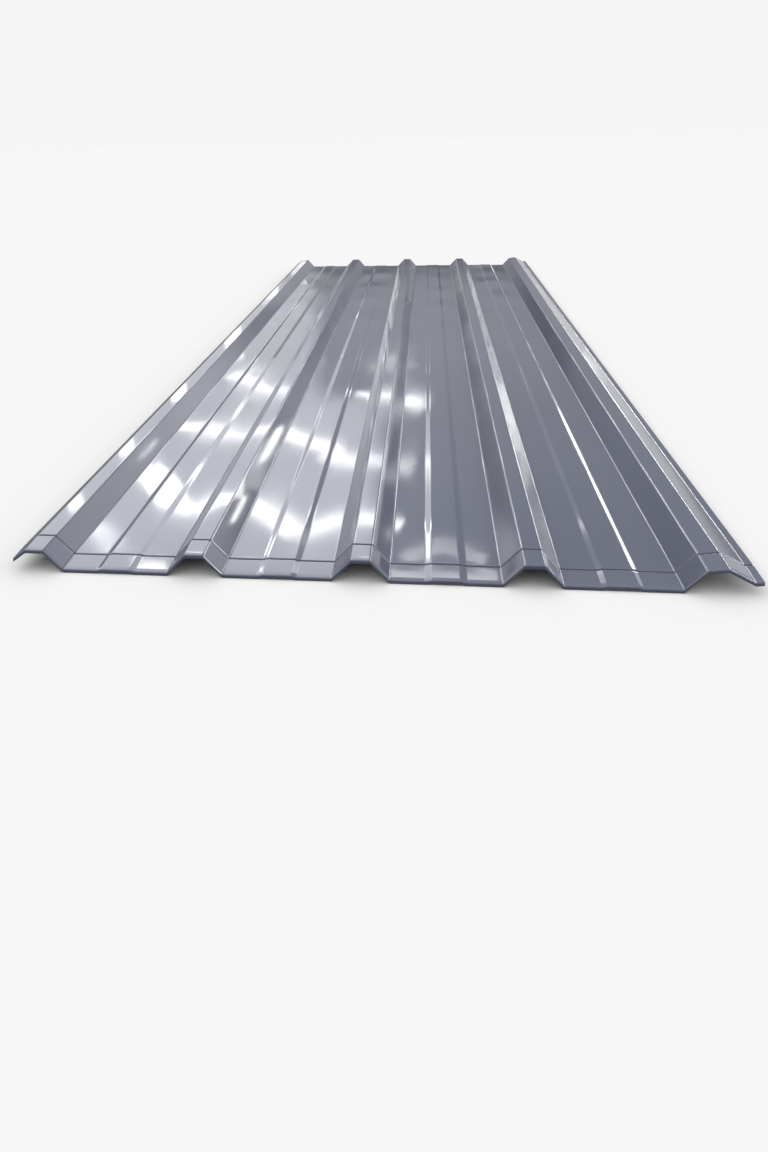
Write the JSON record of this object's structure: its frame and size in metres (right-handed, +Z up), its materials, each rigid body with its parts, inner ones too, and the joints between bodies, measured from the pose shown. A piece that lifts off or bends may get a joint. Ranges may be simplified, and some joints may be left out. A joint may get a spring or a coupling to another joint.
{
  "type": "corrugated metal sheet",
  "caption": "Trapezoidal ribbed roofing sheet of dark blue-grey coated steel, with flat pans, side laps and a pressed eaves end.",
  "frame": {"origin": "middle of the sheet's footprint, on the surface it lies on", "axes": "+Y along the ribs from the eaves end to the far end, +X across from the underlap edge to the overlap edge, +Z up"},
  "size_m": [0.9006, 3, 0.0335],
  "materials": {
    "coated_steel": "glossy dark blue-grey pre-painted steel"
  },
  "bodies": {
    "root": {"corrugated_sheet": "coated_steel"}
  },
  "joints": []
}
